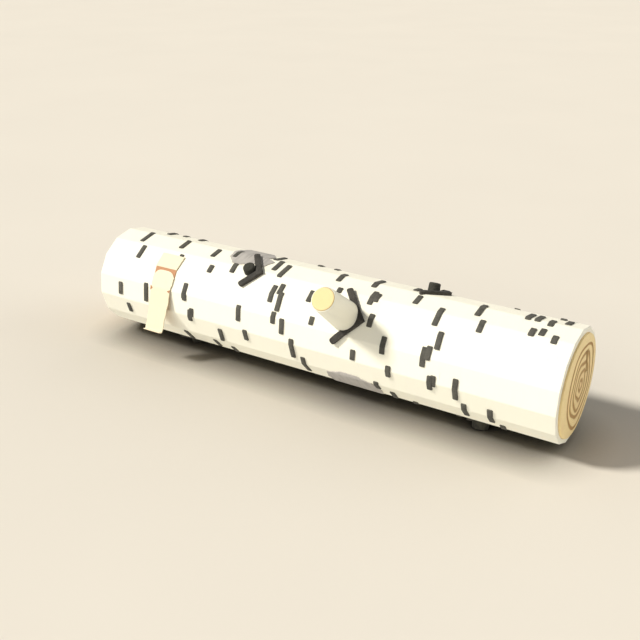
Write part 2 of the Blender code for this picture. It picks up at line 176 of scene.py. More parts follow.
# Where the torn strip lies along the trunk, and the turns at which its layers start and end
PEEL_FROM, PEEL_TO = 0.0680, 0.0955
PEEL_MIDDLE = (PEEL_FROM + PEEL_TO) / 2
PEEL_NARROWS = 0.22
PEEL_TURN, PEEL_LEAVES = 30, 72
FLAP_TURNS = (30.0, 48.2)
TEAR_TURNS = (44.0, 61.0)
STRIP_TOP_TURNS = (51, 58)              # at its middle and at its corners
PEEL_HANG = 0.0405
PEEL_BEND_R = 0.600
PEEL_CURL = 0.0063
PEEL_CURL_R = 0.0028
PEEL_COLUMNS, HANG_ROWS, CURL_ROWS = 17, 24, 12
SLIP_ROWS = 10                          # rows over which its torn top edge droops towards the corners
PEEL_INSET = 0.0003                     # the strip's sides lie inside its solid by this
FLAP_LAYER = (0.0002, 0.0001, 0.0013)   # inset from the sides, lowest and highest height over the bark
TEAR_LAYER = (0.0004, -0.0002, 0.0007)

# Small orange chips by the strip's edges: along, radius, stretch round the trunk, heading
CHIPS = ((0.0701, 0.0019, 1.5, -90.0), (0.0925, 0.0023, 0.85, 90.0))
CHIP_TURN, CHIP_REACH, CHIP_THICKNESS = 73.3, 0.0512, 0.0004

# Camera, from the middle of the trunk's axis
CAMERA_OFFSET = Vector((0.39701, -0.64510, 0.34232))
CAMERA_AZIMUTH = 31.92
CAMERA_ELEVATION = 24.246
CAMERA_LENS = 49.455
FLOOR_SIZE = 40

HAIRLINES, CORK = "Birch hairlines", "Birch cork"


def colour(name, description, value):
    return FloatVectorProperty(name=name, description=description, subtype="COLOR", min=0.0, max=1.0,
                               default=value)


def length(name, description, value):
    return FloatProperty(name=name, description=description, subtype="DISTANCE", unit="LENGTH", min=0.0,
                         default=value)


def angle(name, description, degrees):
    return FloatProperty(name=name, description=description, subtype="ANGLE", default=math.radians(degrees))


def amount(name, description, value):
    return FloatProperty(name=name, description=description, min=0.0, default=value)


class BirchLogSizes(PropertyGroup):
    trunk_radius: length("Trunk radius", "Axis to the corners between the bark's flat sides", 0.050)
    sides: IntProperty(name="Flat sides", description="How many flat sides the bark has", default=15, min=3)
    corner: length("Corner width", "Width of the soft corner between two flat sides", 0.0014)
    rim: length("Rim bevel", "Width of the worn edge round the cut ends", 0.0009)
    stub_along: length("Stub place", "How far along the trunk the stub grows", 0.2856)
    stub_turn: angle("Stub turn", "How far round from the top the stub grows", 51.5)
    stub_tip: length("Stub tip", "From the trunk's axis to the end of the stub's bark", 0.0952)
    stub_base_radius: length("Stub base radius", "Radius where the stub leaves the trunk", 0.0138)
    stub_tip_radius: length("Stub tip radius", "Radius of the stub's bark at its cut end", 0.0113)
    stub_bark: length("Stub bark", "Thickness of the bark on the stub", 0.0011)
    dash_width: length("Dash width", "Width of a dark dash, along the trunk", 0.0048)
    dash_lift: length("Dash lift", "How far a dark dash stands out of the bark", 0.0008)
    dash_lift_step: length("Dash lift step", "By how much neighbouring dashes differ in lift", 0.00012)
    ridge_lift: length("Ridge lift", "How far a V-shaped ridge stands out of the bark", 0.0031)
    patch_lift: length("Patch lift", "How far a grey patch stands out of the bark", 0.0007)
    ring_depth: length("Ring depth", "How deep the dark growth rings are worn into the cut ends", 0.0004)
    ring_width: length("Ring width", "Width of a dark growth ring", 0.0018)
    strip_thickness: length("Strip thickness", "Thickness of the torn strip of bark", 0.0009)


class BirchLogColours(PropertyGroup):
    bark: colour("Bark", "White outer bark", (0.93, 0.865, 0.675))
    smudge: colour("Smudge", "Faint warm grey on the white bark", (0.74, 0.70, 0.62))
    dash: colour("Dash", "Dark grey-brown dashes", (0.095, 0.087, 0.067))
    ridge: colour("Ridge", "Near-black ridges", (0.065, 0.0575, 0.045))
    knot: colour("Knot", "Near-black knots with an olive tint", (0.048, 0.044, 0.031))
    patch: colour("Patch", "Grey-brown worn bark", (0.455, 0.412, 0.352))
    wood: colour("Wood", "Tan end grain", (0.99, 0.755, 0.355))
    ring: colour("Ring", "Darker growth rings", (0.43, 0.225, 0.058))
    heart: colour("Heart", "Browner wood round the pith", (0.59, 0.387, 0.158))
    blush: colour("Blush", "Faint reddish patches on the wood", (0.80, 0.45, 0.22))
    # Painted shade: the crack's walls take this darker colour by their depth under the cut face
    crack: colour("Crack", "Dark walls of the crack", (0.30, 0.155, 0.055))
    stub_wood: colour("Stub wood", "Pale yellow fresh wood of the stub", (0.80, 0.615, 0.29))
    strip: colour("Strip", "Cream face of the torn strip", (0.82, 0.71, 0.475))
    tear: colour("Tear", "Orange inner bark where the strip tore", (0.485, 0.225, 0.092))
    tear_streak: colour("Tear streak", "Darker streaks in the tear", (0.42, 0.19, 0.075))
    inside: colour("Inside", "Underside of the torn strip", (0.72, 0.50, 0.30))
    inside_streak: colour("Inside streak", "Darker streaks on its underside", (0.55, 0.30, 0.15))
    floor: colour("Floor", "Pale warm floor", (0.72, 0.651, 0.534))
    bounce: colour("Bounce", "Colour that the floor throws back at the log", (0.70, 0.69, 0.66))


class BirchLogStage(PropertyGroup):
    key: amount("Key light", "Strength of the soft sun from the left", 4.0)
    key_spread: angle("Key spread", "Apparent size of the key light, which softens its shadows", 9.0)
    right: amount("Right fill", "Strength of the low light from the right", 1.22)
    back: amount("Back light", "Strength of the low light from behind", 0.45)
    front: amount("Front fill", "Strength of the low light from the front", 0.85)
    fill_spread: angle("Fill spread", "Apparent size of the low lights, like that of large soft panels", 50.0)
    ambient: amount("Ambient", "Strength of the light from all round", 0.18)
    tint: colour("Ambient tint", "Cool tint of the light from all round", (0.82, 0.875, 1.0))
    # Painted shade: ambient occlusion darkens the floor's colour close to the log and round it
    contact_shade: amount("Contact shade", "How strongly the floor darkens close to the log", 0.82)
    wide_shade: amount("Wide shade", "How strongly the floor darkens round the log", 0.54)
    contact_reach: length("Contact reach", "How far from the log the contact shade reaches", 0.04)
    wide_reach: length("Wide reach", "How far from the log the wide shade reaches", 0.3)


# Selecting and shaping


def only(piece):
    """Makes a piece the one selected and active object, in object mode."""
    if bpy.context.object and bpy.context.object.mode != "OBJECT":
        bpy.ops.object.mode_set(mode="OBJECT")
    bpy.ops.object.select_all(action="DESELECT")
    piece.select_set(True)
    bpy.context.view_layer.objects.active = piece
    return piece


def put(piece):
    """Moves a piece's place, turn and stretch into its mesh."""
    only(piece)
    bpy.ops.object.transform_apply(location=True, rotation=True, scale=True)
    return piece


def settled(name):
    """Names the primitive just added and moves its place into its mesh."""
    piece = bpy.context.active_object
    piece.name = piece.data.name = name
    return put(piece)


def pick(piece, kind, test=lambda element: True):
    """Goes into edit mode with only the edges or faces that pass a test selected."""
    only(piece)
    bpy.ops.object.mode_set(mode="EDIT")
    bpy.ops.mesh.select_mode(type=kind)
    bpy.ops.mesh.select_all(action="DESELECT")
    mesh = bmesh.from_edit_mesh(piece.data)
    for element in {"EDGE": mesh.edges, "FACE": mesh.faces}[kind]:
        if test(element):
            element.select_set(True)
    bmesh.update_edit_mesh(piece.data)


def leave_edit():
    bpy.ops.object.mode_set(mode="OBJECT")


def bevel_picked(offset, segments):
    bpy.ops.mesh.bevel(offset=offset, segments=segments, affect="EDGES")
    leave_edit()


def raised(piece, height):
    """Extrudes the whole of a flat piece upwards into a solid."""
    pick(piece, "FACE")
    bpy.ops.mesh.extrude_region_move(TRANSFORM_OT_translate={"value": (0, 0, height)})
    bpy.ops.mesh.select_all(action="SELECT")
    bpy.ops.mesh.normals_make_consistent(inside=False)
    leave_edit()


def finish_with(piece, kind, **settings):
    """Adds a modifier to a piece and applies it."""
    only(piece)
    modifier = piece.modifiers.new(kind.lower(), kind)
    for name, value in settings.items():
        setattr(modifier, name, value)
    bpy.ops.object.modifier_apply(modifier=modifier.name)


def combine(piece, other, operation):
    """Joins another solid to a piece, or takes it away, and removes that solid."""
    finish_with(piece, "BOOLEAN", operation=operation, solver="EXACT", object=other)
    bpy.data.objects.remove(other)


def copied(piece, name):
    made = piece.copy()
    made.data = piece.data.copy()
    made.name = made.data.name = name
    bpy.context.scene.collection.objects.link(made)
    return made


def joined(pieces, name):
    """Joins pieces into the first of them."""
    only(pieces[0])
    for piece in pieces:
        piece.select_set(True)
    bpy.ops.object.join()
    pieces[0].name = pieces[0].data.name = name
    return pieces[0]


def soften(piece, width):
    """Rounds a piece's sharp edges with an applied bevel."""
    finish_with(piece, "BEVEL", width=width, segments=2, limit_method="ANGLE", angle_limit=math.radians(60))


def smooth(piece, degrees):
    only(piece)
    bpy.ops.object.shade_smooth_by_angle(angle=math.radians(degrees))


def chosen(context):
    """The sizes and the colours that are set in the sidebar."""
    return context.scene.birch_log_sizes, context.scene.birch_log_colours


def flat_turn(sizes):
    return 2 * math.pi / sizes.sides


def arc(sizes, degrees):
    """Length of a stretch round the trunk, at its corners."""
    return math.radians(degrees) * sizes.trunk_radius


def bark_radius(sizes, turn):
    """Distance from the axis to the flat sides, at an angle round from the top."""
    flat = flat_turn(sizes)
    return sizes.trunk_radius * math.cos(flat / 2) / math.cos(turn % flat - flat / 2)


def place(along, turn, radius):
    """Point at a place along and round the trunk, at a distance from its axis."""
    return Vector((along - LENGTH / 2, AXIS_Y - radius * math.sin(turn), AXIS_Z + radius * math.cos(turn)))


def wrap(piece, sizes):
    """Bends a piece that was modelled flat (x along, y round, z out) over the trunk's flat sides."""
    reach = [vertex.co.y for vertex in piece.data.vertices]
    flat = flat_turn(sizes) * sizes.trunk_radius
    for corner in range(math.ceil(min(reach) / flat), math.floor(max(reach) / flat) + 1):
        pick(piece, "FACE")
        bpy.ops.mesh.bisect(plane_co=(0, corner * flat, 0), plane_no=(0, 1, 0))
    only(piece)
    for vertex in piece.data.vertices:
        turn = vertex.co.y / sizes.trunk_radius
        vertex.co = place(vertex.co.x, turn, bark_radius(sizes, turn) + vertex.co.z)
    pick(piece, "FACE")
    bpy.ops.mesh.flip_normals()
    leave_edit()


def belongs(piece, material, node=None):
    """Gives a finished piece its finish and its place in the frame."""
    piece.data.materials.clear()
    piece.data.materials.append(material)
    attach(piece, "root")
    if node:
        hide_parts(node)


# Shader nodes


def node(tree, kind, inputs=None, **settings):
    """Adds a shader node. Each input is a value or another node's output."""
    made = tree.nodes.new("ShaderNode" + kind)
    for name, value in settings.items():
        setattr(made, name, value)
    for key, value in (inputs or {}).items():
        if isinstance(value, bpy.types.NodeSocket):
            tree.links.new(value, made.inputs[key])
        else:
            made.inputs[key].default_value = value
    return made


def opaque(colour_value):
    return (*colour_value, 1.0)


def shaded(colour_value, factor):
    return opaque([part * factor for part in colour_value])


def mixed(tree, factor, first, second, mode="MIX"):
    made = node(tree, "Mix", {0: factor, 6: first, 7: second}, data_type="RGBA", blend_type=mode)
    return made.outputs[2]


def sum_of(tree, operation, first, second=0.0):
    return node(tree, "Math", {0: first, 1: second}, operation=operation).outputs[0]


def times(tree, first, second):
    return sum_of(tree, "MULTIPLY", first, second)


def plus(tree, first, second):
    return sum_of(tree, "ADD", first, second)


def minus(tree, first, second):
    return sum_of(tree, "SUBTRACT", first, second)


def between(tree, value, low, high, to_low=0.0, to_high=1.0):
    """Value remapped smoothly from one range to another."""
    inputs = {"Value": value, "From Min": low, "From Max": high, "To Min": to_low, "To Max": to_high}
    return node(tree, "MapRange", inputs, interpolation_type="SMOOTHSTEP").outputs[0]


def object_place(tree):
    return node(tree, "TexCoord").outputs["Object"]


def noise(tree, place_output, scale, stretch=(1, 1, 1), detail=3.0, roughness=0.55):
    """Noise whose grain is finer along the axes with the larger stretch."""
    at = node(tree, "Mapping", {"Vector": place_output, "Scale": stretch}).outputs[0]
    inputs = {"Vector": at, "Scale": scale, "Detail": detail, "Roughness": roughness}
    return node(tree, "TexNoise", inputs).outputs["Fac"]


def shader_group(name, inputs, outputs):
    """Empty node group with named float inputs and outputs, and its input and output nodes."""
    group = bpy.data.node_groups.new(name, "ShaderNodeTree")
    for socket, default in inputs.items():
        made = group.interface.new_socket(socket, in_out="INPUT", socket_type="NodeSocketFloat")
        made.default_value = default
    for socket in outputs:
        group.interface.new_socket(socket, in_out="OUTPUT", socket_type="NodeSocketFloat")
    return group, group.nodes.new("NodeGroupInput").outputs, group.nodes.new("NodeGroupOutput").inputs


def use_group(tree, name, **inputs):
    """Adds one of the file's node groups and returns its outputs."""
    return node(tree, "Group", inputs, node_tree=bpy.data.node_groups[name]).outputs


def hairline_group():
    """Short thin lines that run round the trunk, and soft smudges, as masks."""
    group, given, result = shader_group(HAIRLINES, {"Amount": 0.5}, ("Lines", "Smudges"))
    at = object_place(group)
    fine = noise(group, at, 60.0, (11.0, 1.0, 1.0), detail=4.0, roughness=0.6)
    broken = noise(group, at, 34.0, (2.2, 1.0, 1.0), detail=2.0)
    start = minus(group, 0.78, times(group, given["Amount"], 0.2))
    lines = between(group, fine, start, plus(group, start, 0.05))
    lines = times(group, lines, between(group, broken, 0.42, 0.62))
    group.links.new(lines, result["Lines"])
    cloud = noise(group, at, 16.0, (1.6, 1.0, 1.0), detail=5.0, roughness=0.62)
    group.links.new(between(group, cloud, 0.48, 0.78), result["Smudges"])
    return group


def cork_group():
    """Rough cork: a height with cracks across it, and a mask of worn high spots."""
    group, given, result = shader_group(CORK, {"Cracks": 1.0}, ("Height", "Wear"))
    at = object_place(group)
    grain = noise(group, at, 420.0, detail=6.0, roughness=0.65)
    inputs = {"Vector": at, "Scale": 260.0, "Randomness": 1.0}
    cells = node(group, "TexVoronoi", inputs, feature="DISTANCE_TO_EDGE").outputs["Distance"]
    cracks = times(group, between(group, cells, 0.0, 0.12), given["Cracks"])
    height = plus(group, times(group, cracks, 0.5), times(group, grain, 0.8))
    group.links.new(height, result["Height"])
    sharp = node(group, "NewGeometry").outputs["Pointiness"]
    rubbed = times(group, between(group, sharp, 0.52, 0.62), between(group, grain, 0.4, 0.6))
    group.links.new(rubbed, result["Wear"])
    return group


def new_material(name, roughness, specular=0.35):
    """Material with an empty Principled shader, and its tree and shader."""
    made = bpy.data.materials.new(name)
    made.use_nodes = True
    shader = made.node_tree.nodes["Principled BSDF"]
    shader.inputs["Roughness"].default_value = roughness
    shader.inputs["Specular IOR Level"].default_value = specular
    return made, made.node_tree, shader


def surfaced(tree, shader, painted, height, distance):
    """Gives a material its colour and its fine relief."""
    tree.links.new(painted, shader.inputs["Base Color"])
    bump = node(tree, "Bump", {"Height": height, "Distance": distance, "Strength": 1.0})
    tree.links.new(bump.outputs[0], shader.inputs["Normal"])


def bark_material(colours):
    made, tree, shader = new_material("white bark", 0.62)
    masks = use_group(tree, HAIRLINES, Amount=0.55)
    smudge = opaque(colours.smudge)
    painted = mixed(tree, times(tree, masks["Smudges"], 0.16), opaque(colours.bark), smudge)
    painted = mixed(tree, times(tree, masks["Lines"], 0.55), painted, smudge)
    sheets = noise(tree, object_place(tree), 40.0, (8.0, 1.0, 1.0), detail=5.0)
    surfaced(tree, shader, painted, minus(tree, sheets, times(tree, masks["Lines"], 0.7)), 0.0002)
    tree.links.new(between(tree, sheets, 0.3, 0.7, 0.5, 0.75), shader.inputs["Roughness"])
    return made


def dark_material(name, base_colour, wear, depth, cracks):
    """Rough cork, lighter by a factor where it is worn."""
    made, tree, shader = new_material(name, 0.82, 0.25)
    rough = use_group(tree, CORK, Cracks=cracks)
    patchy = between(tree, noise(tree, object_place(tree), 150.0, detail=4.0), 0.35, 0.7)
    painted = mixed(tree, patchy, opaque(base_colour), shaded(base_colour, 0.72))
    painted = mixed(tree, times(tree, rough["Wear"], 0.5), painted, shaded(base_colour, wear))
    surfaced(tree, shader, painted, rough["Height"], depth)
    return made


def patch_material(colours):
    made, tree, shader = new_material("worn patch", 0.78, 0.2)
    masks = use_group(tree, HAIRLINES, Amount=0.8)
    streaks = noise(tree, object_place(tree), 45.0, (7.0, 1.0, 1.0), detail=5.0)
    dark = between(tree, streaks, 0.4, 0.72)
    painted = mixed(tree, dark, opaque(colours.patch), shaded(colours.patch, 0.8))
    painted = mixed(tree, times(tree, masks["Lines"], 0.5), painted, opaque(colours.dash))
    surfaced(tree, shader, painted, streaks, 0.00035)
    return made


def radius_of(tree):
    """Distance from the pith, from the UV map that holds each point's place round it, in metres."""
    grown = node(tree, "UVMap", uv_map="growth").outputs[0]
    return node(tree, "VectorMath", {0: grown}, operation="LENGTH").outputs["Value"]


def end_grain(tree, base_colour, ring_colour, fine_scale, main_rings, ring_width):
    """Growth rings and rays over the place round the pith: the colour, and masks of fine rings and rays."""
    grown = node(tree, "UVMap", uv_map="growth").outputs[0]
    dark = opaque(ring_colour)
    wobble = minus(tree, noise(tree, grown, 90.0, detail=2.0), 0.5)
    reach = plus(tree, radius_of(tree), times(tree, wobble, 0.0012))
    fine = between(tree, sum_of(tree, "SINE", times(tree, reach, fine_scale)), 0.1, 1.0)
    strength = times(tree, fine, between(tree, noise(tree, grown, 160.0), 0.3, 0.7, 0.08, 0.3))
    painted = mixed(tree, strength, opaque(base_colour), dark)
    rings = None
    for radius in main_rings:
        off = sum_of(tree, "ABSOLUTE", minus(tree, reach, radius))
        line = between(tree, off, 0.45 * ring_width, 1.25 * ring_width, 1.0, 0.0)
        rings = line if rings is None else sum_of(tree, "MAXIMUM", rings, line)
    if rings is not None:
        painted = mixed(tree, times(tree, rings, 0.92), painted, dark)
    parts = node(tree, "SeparateXYZ", {0: grown}).outputs
    round_pith = sum_of(tree, "ARCTAN2", parts["Y"], parts["X"])
    polar = {"X": times(tree, round_pith, 22.0), "Y": times(tree, reach, 120.0)}
    rays = noise(tree, node(tree, "CombineXYZ", polar).outputs[0], 3.0)
    painted = mixed(tree, between(tree, rays, 0.55, 0.75, 0.0, 0.16), painted, dark)
    return painted, fine, rays


def wood_material(colours, sizes):
    made, tree, shader = new_material("sawn wood", 0.68, 0.25)
    radii = [radius for radius, _ in RINGS]
    painted, fine, rays = end_grain(tree, colours.wood, colours.ring, 5200.0, radii, sizes.ring_width)
    at = object_place(tree)
    heart = between(tree, radius_of(tree), *HEART_REACH, HEART_SHARE, 0.0)
    painted = mixed(tree, heart, painted, opaque(colours.heart))
    blush = between(tree, noise(tree, at, 55.0, detail=2.0), 0.5, 0.75, 0.0, 0.22)
    painted = mixed(tree, blush, painted, opaque(colours.blush))
    # Painted shade in the crack: walls deeper under the cut face are mixed towards the crack colour, but not
    # near the rim
    depth = sum_of(tree, "ABSOLUTE", node(tree, "SeparateXYZ", {0: at}).outputs["X"])
    deep, shallow = (LENGTH / 2 + WOOD_PROUD - under for under in CRACK_SHADE_DEPTHS)
    inside = between(tree, depth, deep, shallow, 1.0, 0.0)
    inside = times(tree, inside, between(tree, radius_of(tree), *CRACK_REACH, CRACK_SHADE_SHARE, 0.0))
    painted = mixed(tree, inside, painted, opaque(colours.crack))
    turned = {"Vector": at, "Rotation": (math.radians(35), 0, 0), "Scale": (1.0, 1.0, 12.0)}
    saw = noise(tree, node(tree, "Mapping", turned).outputs[0], 70.0)
    height = plus(tree, times(tree, saw, 0.6), times(tree, rays, 0.25))
    surfaced(tree, shader, painted, minus(tree, height, times(tree, fine, 0.12)), 0.0002)
    return made


def stub_wood_material(colours):
    made, tree, shader = new_material("stub wood", 0.6, 0.25)
    deeper = [part * share for part, share in zip(colours.stub_wood, (0.88, 0.78, 0.55))]
    painted, fine, rays = end_grain(tree, colours.stub_wood, deeper, 5600.0, (), 0.0)
    surfaced(tree, shader, painted, plus(tree, rays, times(tree, fine, 0.3)), 0.0001)
    return made


def strip_material(name, base_colour, streak_colour):
    made, tree, shader = new_material(name, 0.55, 0.3)
    masks = use_group(tree, HAIRLINES, Amount=0.6)
    streak = opaque(streak_colour)
    streaks = noise(tree, object_place(tree), 50.0, (9.0, 1.0, 1.0), detail=4.0)
    painted = mixed(tree, between(tree, streaks, 0.5, 0.8, 0.0, 0.35), opaque(base_colour), streak)
    painted = mixed(tree, times(tree, masks["Lines"], 0.4), painted, streak)
    surfaced(tree, shader, painted, streaks, 0.00015)
    return made


# Bark


def trunk_cylinder(name, sides, radius, depth):
    """Cylinder on the trunk's axis with a corner at the top."""
    bpy.ops.mesh.primitive_cylinder_add(vertices=sides, radius=radius, depth=depth, end_fill_type="NGON",
                                        location=(0, AXIS_Y, AXIS_Z), rotation=(math.pi / 2, 0, math.pi / 2))
    return settled(name)


def stub_cone(name, sizes, inset, start, past_tip):
    """The stub's outline, taken in by an even thickness, from a distance off the axis to past its tip."""
    slope = (sizes.stub_base_radius - sizes.stub_tip_radius) / (sizes.stub_tip - sizes.trunk_radius)
    end = sizes.stub_tip + past_tip
    low_radius = sizes.stub_base_radius - inset + slope * (sizes.trunk_radius - start)
    high_radius = sizes.stub_tip_radius - inset - slope * past_tip
    middle = place(sizes.stub_along, sizes.stub_turn, (start + end) / 2)
    bpy.ops.mesh.primitive_cone_add(vertices=STUB_SIDES, radius1=low_radius, radius2=high_radius,
                                    depth=end - start, end_fill_type="NGON", location=middle,
                                    rotation=(sizes.stub_turn, 0, 0))
    return settled(name)


def stub_axis(sizes):
    """Where the stub's axis meets the trunk's, and the direction in which the stub grows."""
    foot = place(sizes.stub_along, sizes.stub_turn, 0.0)
    return foot, (place(sizes.stub_along, sizes.stub_turn, 1.0) - foot).normalized()


def out_on_stub(sizes, reach):
    """Test for a part of the stub that lies at least so far from the trunk's axis."""
    foot, out = stub_axis(sizes)
    return lambda element: all((vertex.co - foot).dot(out) > reach - CLOSE for vertex in element.verts)


class BIRCHLOG_OT_bark(Operator):
    """Models the white bark: a tube with soft flat sides, worn rims and the stub's sleeve"""
    bl_idname = "birchlog.bark"
    bl_label = "White Bark"

    def execute(self, context):
        sizes, colours = chosen(context)
        bark = trunk_cylinder("white_bark", sizes.sides, sizes.trunk_radius, LENGTH)
        pick(bark, "EDGE", lambda edge: abs(edge.verts[0].co.x - edge.verts[1].co.x) > LENGTH / 2)
        bevel_picked(sizes.corner / 2, 4)
        pick(bark, "EDGE", lambda edge: abs(edge.verts[0].co.x - edge.verts[1].co.x) < TINY)
        bevel_picked(sizes.rim, 3)
        sleeve = stub_cone("stub sleeve", sizes, 0.0, STUB_ROOT, 0.0)
        pick(sleeve, "EDGE", out_on_stub(sizes, sizes.stub_tip))
        bevel_picked(sizes.rim, 3)
        combine(bark, sleeve, "UNION")
        trunk_bore = trunk_cylinder("trunk bore", ROUND_SIDES, WOOD_RADIUS + FIT, LENGTH + 2 * OVERRUN)
        combine(bark, trunk_bore, "DIFFERENCE")
        stub_bore = stub_cone("stub bore", sizes, sizes.stub_bark - FIT, STUB_ROOT, sizes.stub_bark)
        combine(bark, stub_bore, "DIFFERENCE")
        smooth(bark, 35)
        finish_with(bark, "WEIGHTED_NORMAL", keep_sharp=True, weight=80)
        belongs(bark, bark_material(colours), "bark")
        return {"FINISHED"}


def back_marks(sizes):
    """Dashes on the side away from the stub, drawn so that none touches another or lies close to a knot."""
    draw = random.Random(BACK_SEED)
    gap_turn = math.degrees(MARK_GAP / sizes.trunk_radius)
    kept = []
    while len(kept) < BACK_MARKS:
        along = draw.uniform(END_MARGIN, LENGTH - END_MARGIN)
        turn, span = draw.uniform(*BACK_TURNS), draw.uniform(*BACK_SPANS)
        clear = all(
            abs(along - other) > sizes.dash_width + MARK_GAP
            or abs(turn - other_turn) > (span + other_span) / 2 + gap_turn
            for other, other_turn, other_span in kept
        )
        clear = clear and all(
            abs(along - knot[0]) > KNOT_CLEARANCE or abs(turn - knot[1]) > span / 2 + KNOT_CLEAR_TURN
            for knot in KNOTS
        )
        if clear:
            kept.append((along, turn, span))
    return kept


def round_upright_edges(piece, offset, segments, test=lambda edge: True):
    """Rounds a flat piece's corners, seen from above."""
    def upright(edge):
        first, second = (vertex.co for vertex in edge.verts)
        return (first.xy - second.xy).length < TINY and abs(first.z - second.z) > CLOSE and test(edge)

    pick(piece, "EDGE", upright)
    bevel_picked(offset, segments)


def round_top_rim(piece, offset, segments):
    top = max(vertex.co.z for vertex in piece.data.vertices)
    pick(piece, "EDGE", lambda edge: all(vertex.co.z > top - TINY for vertex in edge.verts))
    bevel_picked(offset, segments)


class BIRCHLOG_OT_dashes(Operator):
    """Models one dark dash, copies it to every place on the bark and wraps the copies round the trunk"""
    bl_idname = "birchlog.dashes"
    bl_label = "Dark Dashes"

    blank_length: length("Blank length", "Length of the dash that the others are copied from", 0.012)

    def execute(self, context):
        sizes, colours = chosen(context)
        bpy.ops.mesh.primitive_cube_add(size=1, location=(0, 0, (sizes.dash_lift - ROOT) / 2),
                                        scale=(sizes.dash_width, self.blank_length, sizes.dash_lift + ROOT))
        blank = settled("dash")
        round_upright_edges(blank, DASH_CORNER, 3)
        round_top_rim(blank, DASH_RIM, 2)

        copies = []
        for index, (along, turn, span) in enumerate(list(MARKS) + back_marks(sizes)):
            dash = copied(blank, "dash")
            longer = arc(sizes, span) - self.blank_length
            middle = arc(sizes, turn)
            for vertex in dash.data.vertices:
                vertex.co.y += math.copysign(1, vertex.co.y) * longer / 2 + middle
                vertex.co.x += along
                if vertex.co.z > 0:
                    vertex.co.z += index % 3 * sizes.dash_lift_step
            copies.append(dash)
        bpy.data.objects.remove(blank)
        dashes = joined(copies, "dark_dashes")
        wrap(dashes, sizes)
        smooth(dashes, 40)
        belongs(dashes, dark_material("dash cork", colours.dash, 2.2, 0.00025, 0.8))
        return {"FINISHED"}


def ridge_band(sizes, ridge):
    """V of even width, flat: a plane for the first leg, its far edge extruded for the second."""
    *places, width = ridge
    a, b, c = (Vector((along, arc(sizes, turn))) for along, turn in places)
    half = width / 2
    down, up = (b - a).normalized(), (c - b).normalized()
    side_down, side_up = Vector((-down.y, down.x)), Vector((-up.y, up.x))
    mitre = (side_down + side_up).normalized()
    mitre *= half / mitre.dot(side_down)
    a, c = a - down * half * 0.8, c + up * half * 0.8

    bpy.ops.mesh.primitive_plane_add(size=2)
    band = settled("ridge")
    for vertex in band.data.vertices:
        side = math.copysign(1, vertex.co.y)
        spot = a + side * side_down * half if vertex.co.x < 0 else b + side * mitre
        vertex.co = (*spot, -ROOT)
    far = [(b + mitre).to_tuple(6), (b - mitre).to_tuple(6)]
    pick(band, "EDGE", lambda edge: all(vertex.co.xy.to_tuple(6) in far for vertex in edge.verts))
    bpy.ops.mesh.extrude_edges_move(TRANSFORM_OT_translate={"value": (*(c - b), 0)})
    leave_edit()
    for vertex in band.data.vertices:
        if vertex.select:
            side = 1 if (vertex.co.xy - c).dot(side_up) > 0 else -1
            vertex.co = (*(c + side * side_up * half), -ROOT)
    raised(band, sizes.ridge_lift + ROOT)
    round_upright_edges(band, half * 0.72, 5, lambda edge: any(
        (edge.verts[0].co.xy - end).length < half * 1.2 for end in (a, c)))
    round_upright_edges(band, RIDGE_BEVEL, 2, lambda edge: (edge.verts[0].co.xy - b).length < 2.2 * half)
    round_top_rim(band, RIDGE_BEVEL, 3)
    return band


class BIRCHLOG_OT_ridges(Operator):
    """Models the near-black V-shaped ridges over the knots and round the stub"""
    bl_idname = "birchlog.ridges"
    bl_label = "V-Shaped Ridges"

    def execute(self, context):
        sizes, colours = chosen(context)
        ridges = joined([ridge_band(sizes, ridge) for ridge in RIDGES], "bark_ridges")
        wrap(ridges, sizes)
        smooth(ridges, 35)
        belongs(ridges, dark_material("ridge cork", colours.ridge, 2.5, 0.0004, 1.0))
        return {"FINISHED"}


class BIRCHLOG_OT_knots(Operator):
    """Models the dark knots, three of which carry the log on flats worn level with the ground"""
    bl_idname = "birchlog.knots"
    bl_label = "Knots"

    def execute(self, context):
        sizes, colours = chosen(context)
        knots = []
        for along, turn, radius, height in KNOTS:
            foot = sizes.trunk_radius - 3 * ROOT
            turn = math.radians(turn)
            bpy.ops.mesh.primitive_cone_add(vertices=KNOT_SIDES, radius1=radius, radius2=radius * KNOT_TAPER,
                                            depth=height - foot, end_fill_type="NGON")
            knot = settled("knot")
            top = (height - foot) / 2
            round_top_rim(knot, KNOT_BEVEL, 4)
            pick(knot, "FACE", lambda face: face.calc_center_median().z > top - TINY)
            for inset, depth in KNOT_DISHES:
                bpy.ops.mesh.inset(thickness=radius * inset, depth=depth)
            leave_edit()
            knot.location = place(along, turn, (foot + height) / 2)
            knot.rotation_euler = (turn, 0, 0)
            put(knot)
            if min(vertex.co.z for vertex in knot.data.vertices) < 0:
                pick(knot, "FACE")
                bpy.ops.mesh.bisect(plane_co=(0, 0, 0), plane_no=(0, 0, 1), use_fill=True, clear_inner=True,
                                    threshold=TINY)
                leave_edit()
            knots.append(knot)
        knots = joined(knots, "bark_knots")
        smooth(knots, 40)
        belongs(knots, dark_material("knot cork", colours.knot, 2.2, 0.0004, 1.0))
        return {"FINISHED"}


